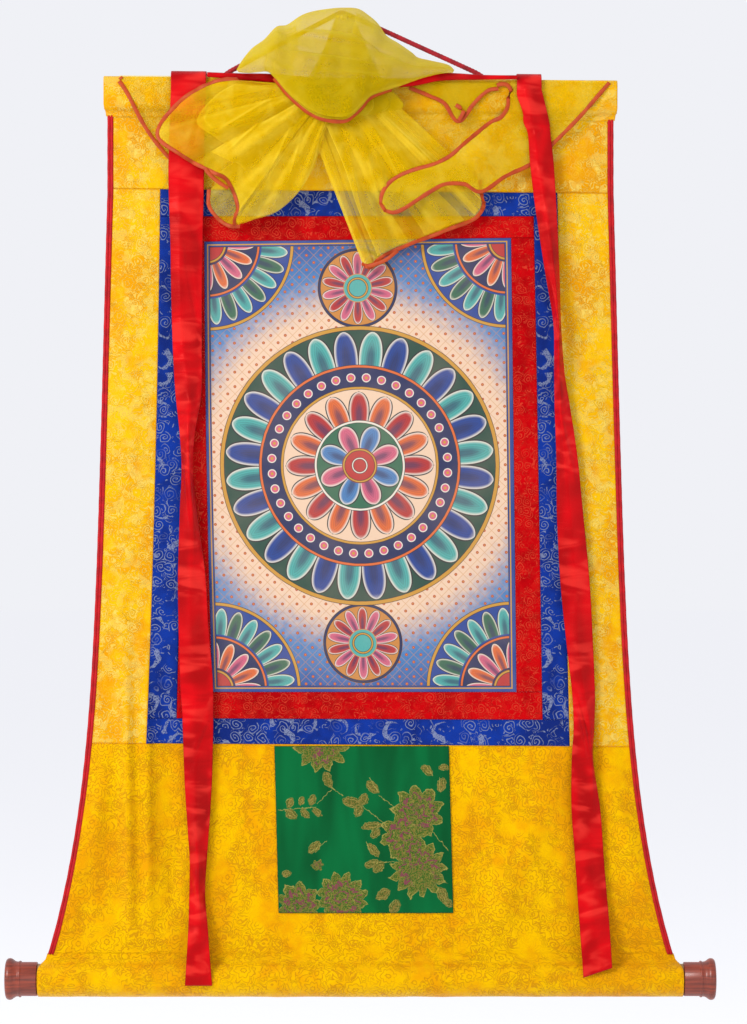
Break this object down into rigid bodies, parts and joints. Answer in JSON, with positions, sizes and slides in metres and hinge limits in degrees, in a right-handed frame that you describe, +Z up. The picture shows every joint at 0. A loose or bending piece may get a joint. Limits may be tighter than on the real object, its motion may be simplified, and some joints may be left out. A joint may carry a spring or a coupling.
{
  "type": "thangka scroll painting with its wooden rods",
  "caption": "Painting in a brocade scroll mount with a top batten, a bottom roller with turned knobs, satin ribbons and a sheer veil gathered up over its hanging cord.",
  "frame": {"origin": "centre of the hanging cord where it passes over its nail", "axes": "+Z up, the front faces -Y, +X to the right seen from the front"},
  "size_m": [0.886, 0.0687, 1.2432],
  "materials": {
    "canvas": "matt printed canvas",
    "red_brocade": "silk brocade",
    "blue_brocade": "silk brocade",
    "gold_brocade": "silk brocade",
    "green_brocade": "satin brocade",
    "edge_trim": "satin cord",
    "red_satin": "satin",
    "organza": "sheer",
    "orange_binding": "satin",
    "red_cord": "twisted cord",
    "bare_wood": "bare",
    "lacquered_wood": "gloss lacquer"
  },
  "bodies": {
    "root": {"painting": "canvas", "red_top": "red_brocade", "red_bottom": "red_brocade", "red_left": "red_brocade", "red_right": "red_brocade", "blue_top": "blue_brocade", "blue_bottom": "blue_brocade", "blue_left": "blue_brocade", "blue_right": "blue_brocade", "side_left": "gold_brocade", "side_right": "gold_brocade", "header_panel": "gold_brocade", "foot_panel": "gold_brocade", "green_panel": "green_brocade", "trim_left": "edge_trim", "trim_right": "edge_trim", "ribbon_left": "red_satin", "ribbon_right": "red_satin", "satin_band": "red_satin", "veil": "organza", "binding_side": "orange_binding", "binding_left": "orange_binding", "binding_under": "orange_binding", "binding_lower": "orange_binding", "binding_swag": "orange_binding", "binding_corner": "orange_binding", "binding_puff": "orange_binding", "hanging_cord": "red_cord", "top_batten": "bare_wood", "bottom_rod": "bare_wood", "knob_left": "lacquered_wood", "knob_right": "lacquered_wood"}
  },
  "joints": []
}
